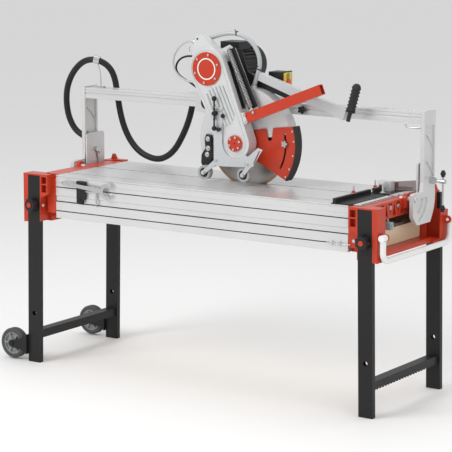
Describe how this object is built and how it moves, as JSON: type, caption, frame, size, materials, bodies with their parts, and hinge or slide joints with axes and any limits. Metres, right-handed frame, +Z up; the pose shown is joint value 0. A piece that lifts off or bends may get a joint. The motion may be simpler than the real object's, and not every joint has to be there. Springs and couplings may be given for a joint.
{
  "type": "wet tile bridge saw",
  "caption": "Wet tile bridge saw: slotted table on legs with a water tank, tilting bridge rail, sliding plunge head with belt-driven disc, guards, rollers and hoses.",
  "frame": {"origin": "on the floor plane under the middle of the machine's outline", "axes": "+X along the table and the bridge towards the end with the carry handle, -Y towards the operator, +Z up"},
  "size_m": [1.758, 0.585, 1.3201],
  "materials": {
    "aluminium": "brushed extrusion, satin",
    "red_paint": "smooth orange-red paint",
    "grey_paint": "light grey paint, slightly textured casting",
    "mid_grey": "mid grey paint",
    "silver_case": "bead blasted silver-white",
    "black_paint": "satin black paint",
    "black_plastic": "matte black plastic",
    "black_rubber": "soft black rubber",
    "tyre": "worn black tyre rubber",
    "hub_plastic": "grey moulded plastic",
    "tank_plastic": "beige moulded plastic",
    "white_plastic": "white sleeve",
    "grey_rubber": "grey roller rubber",
    "steel": "ground steel",
    "chrome": "bright plated",
    "blade_steel": "ground disc",
    "white_scale": "white printed strip",
    "smoked": "smoked translucent plastic",
    "grey_hose": "smooth grey water hose",
    "clear_hose": "translucent soft tube",
    "cable": "black cable sheath",
    "green_button": "green button",
    "red_button": "red button",
    "belt_rubber": "ribbed belt"
  },
  "bodies": {
    "table": {"front_panel": "aluminium", "back_panel": "aluminium", "front_plank": "aluminium", "back_plank": "aluminium", "right_end_frame": "red_paint", "left_end_frame": "red_paint", "right_quadrant": "mid_grey", "left_quadrant": "mid_grey", "fence_rail": "black_paint", "scale_strip": "white_scale", "tool_holder": "black_plastic", "hand_tools": "chrome"},
    "right_legs": {"right_legs": "black_paint"},
    "left_legs": {"left_legs": "black_paint"},
    "right_front_knob": {"right_front_knob": "black_plastic"},
    "right_back_knob": {"right_back_knob": "black_plastic"},
    "left_front_knob": {"left_front_knob": "black_plastic"},
    "left_back_knob": {"left_back_knob": "black_plastic"},
    "front_wheel": {"front_wheel_tyre": "tyre", "front_wheel_hub": "hub_plastic"},
    "back_wheel": {"back_wheel_tyre": "tyre", "back_wheel_hub": "hub_plastic"},
    "carry_handle": {"carry_handle": "white_plastic"},
    "water_tank": {"water_tank": "tank_plastic"},
    "fence_stop": {"fence_stop": "aluminium"},
    "protractor": {"protractor": "smoked"},
    "bridge": {"right_post": "grey_paint", "left_post": "grey_paint", "bridge_beam": "aluminium", "hose_support": "steel", "umbilical": "cable"},
    "right_tilt_clamp": {"right_tilt_clamp": "black_paint"},
    "left_tilt_clamp": {"left_tilt_clamp": "steel"},
    "carriage": {"carriage": "grey_paint"},
    "head": {"belt_case": "silver_case", "case_covers": "red_paint", "head_plate": "black_paint", "motor": "black_paint", "upper_guard": "silver_case", "tension_spring": "steel", "red_arm": "red_paint", "handle_arm": "grey_paint", "grip": "black_rubber", "switch_box": "black_plastic", "belt": "belt_rubber", "water_hose": "grey_hose", "clear_hose": "clear_hose", "black_cable": "cable"},
    "start_button": {"start_button": "green_button"},
    "stop_button": {"stop_button": "red_button"},
    "blade_unit": {"blade": "blade_steel", "spindle": "steel"},
    "motor_pulley": {"motor_pulley": "steel"},
    "swing_guard": {"swing_guard": "red_paint", "guard_rim": "black_rubber"},
    "guard_knob": {"guard_knob": "black_plastic"},
    "roller_frame": {"roller_plate": "steel"},
    "left_roller": {"left_roller": "grey_rubber"},
    "right_roller": {"right_roller": "grey_rubber"},
    "press_clamp": {"press_clamp": "black_plastic"}
  },
  "joints": [
    {"name": "right_leg_height", "type": "slide", "parent": "table", "child": "right_legs", "axis": [0.0174, 0, -0.9998], "range_m": [0, 0.1]},
    {"name": "left_leg_height", "type": "slide", "parent": "table", "child": "left_legs", "axis": [-0.0174, 0, -0.9998], "range_m": [0, 0.1]},
    {"name": "right_front_knob_turn", "type": "hinge", "parent": "right_legs", "child": "right_front_knob", "pos_m": [0.78097, -0.27, 0.632], "axis": [0, -1, 0], "continuous": true},
    {"name": "right_back_knob_turn", "type": "hinge", "parent": "right_legs", "child": "right_back_knob", "pos_m": [0.78097, 0.27, 0.632], "axis": [0, 1, 0], "continuous": true},
    {"name": "left_front_knob_turn", "type": "hinge", "parent": "left_legs", "child": "left_front_knob", "pos_m": [-0.70297, -0.27, 0.632], "axis": [0, -1, 0], "continuous": true},
    {"name": "left_back_knob_turn", "type": "hinge", "parent": "left_legs", "child": "left_back_knob", "pos_m": [-0.70297, 0.27, 0.632], "axis": [0, 1, 0], "continuous": true},
    {"name": "front_wheel_spin", "type": "hinge", "parent": "left_legs", "child": "front_wheel", "pos_m": [-0.819, -0.2525, 0.064], "axis": [0, 1, 0], "continuous": true},
    {"name": "back_wheel_spin", "type": "hinge", "parent": "left_legs", "child": "back_wheel", "pos_m": [-0.819, 0.2525, 0.064], "axis": [0, 1, 0], "continuous": true},
    {"name": "carry_handle_swing", "type": "hinge", "parent": "table", "child": "carry_handle", "pos_m": [0.847, 0, 0.65], "axis": [0, -1, 0], "range_deg": [0, 100]},
    {"name": "tank_slide", "type": "slide", "parent": "table", "child": "water_tank", "axis": [1, 0, 0], "range_m": [0, 0.45]},
    {"name": "fence_stop_slide", "type": "slide", "parent": "table", "child": "fence_stop", "axis": [0, 1, 0], "range_m": [-0.03, 0]},
    {"name": "protractor_turn", "type": "hinge", "parent": "table", "child": "protractor", "pos_m": [0.667, 0.146, 0.757], "axis": [0, 0, 1], "range_deg": [-12, 0]},
    {"name": "bridge_tilt", "type": "hinge", "parent": "table", "child": "bridge", "pos_m": [0.039, 0.034, 0.748], "axis": [-1, 0, 0], "range_deg": [0, 45]},
    {"name": "right_clamp_turn", "type": "hinge", "parent": "bridge", "child": "right_tilt_clamp", "pos_m": [0.829, 0.147, 0.803], "axis": [1, 0, 0], "range_deg": [-90, 90]},
    {"name": "left_clamp_turn", "type": "hinge", "parent": "bridge", "child": "left_tilt_clamp", "pos_m": [-0.731, 0.147, 0.803], "axis": [-1, 0, 0], "range_deg": [-40, 40]},
    {"name": "carriage_slide", "type": "slide", "parent": "bridge", "child": "carriage", "axis": [1, 0, 0], "range_m": [-0.44, 0.45], "deforming": ["umbilical"]},
    {"name": "head_plunge", "type": "hinge", "parent": "carriage", "child": "head", "pos_m": [-0.111, 0.08, 1.035], "axis": [0, -1, 0], "range_deg": [0, 18]},
    {"name": "start_press", "type": "slide", "parent": "head", "child": "start_button", "axis": [-1, 0, 0], "range_m": [0, 0.003], "stiffness_N_per_m": 300, "springref_m": -0.002},
    {"name": "stop_press", "type": "slide", "parent": "head", "child": "stop_button", "axis": [-1, 0, 0], "range_m": [0, 0.002], "stiffness_N_per_m": 300, "springref_m": -0.002},
    {"name": "blade_spin", "type": "hinge", "parent": "head", "child": "blade_unit", "pos_m": [0.104, 0.034, 0.908], "axis": [0, 1, 0], "continuous": true},
    {"name": "motor_spin", "type": "hinge", "parent": "head", "child": "motor_pulley", "pos_m": [-0.024, 0, 1.18], "axis": [0, 1, 0], "continuous": true},
    {"name": "swing_guard_lift", "type": "hinge", "parent": "head", "child": "swing_guard", "pos_m": [0.104, 0.003, 0.908], "axis": [0, -1, 0], "range_deg": [0, 60]},
    {"name": "guard_knob_turn", "type": "hinge", "parent": "swing_guard", "child": "guard_knob", "pos_m": [0.28644, 0, 0.91278], "axis": [0, -1, 0], "continuous": true},
    {"name": "roller_height", "type": "slide", "parent": "head", "child": "roller_frame", "axis": [0, 0, 1], "range_m": [-0.009, 0.02]},
    {"name": "left_roller_spin", "type": "hinge", "parent": "roller_frame", "child": "left_roller", "pos_m": [-0.039, -0.05, 0.787], "axis": [0, 1, 0], "continuous": true},
    {"name": "right_roller_spin", "type": "hinge", "parent": "roller_frame", "child": "right_roller", "pos_m": [0.138, -0.05, 0.791], "axis": [0, 1, 0], "continuous": true},
    {"name": "press_clamp_turn", "type": "hinge", "parent": "head", "child": "press_clamp", "pos_m": [0.021, -0.066, 1.017], "axis": [0, -1, 0], "range_deg": [-90, 90]}
  ],
  "couplings": [
    {"joint": "motor_spin", "follows": "blade_spin", "ratio": 0.88889}
  ]
}
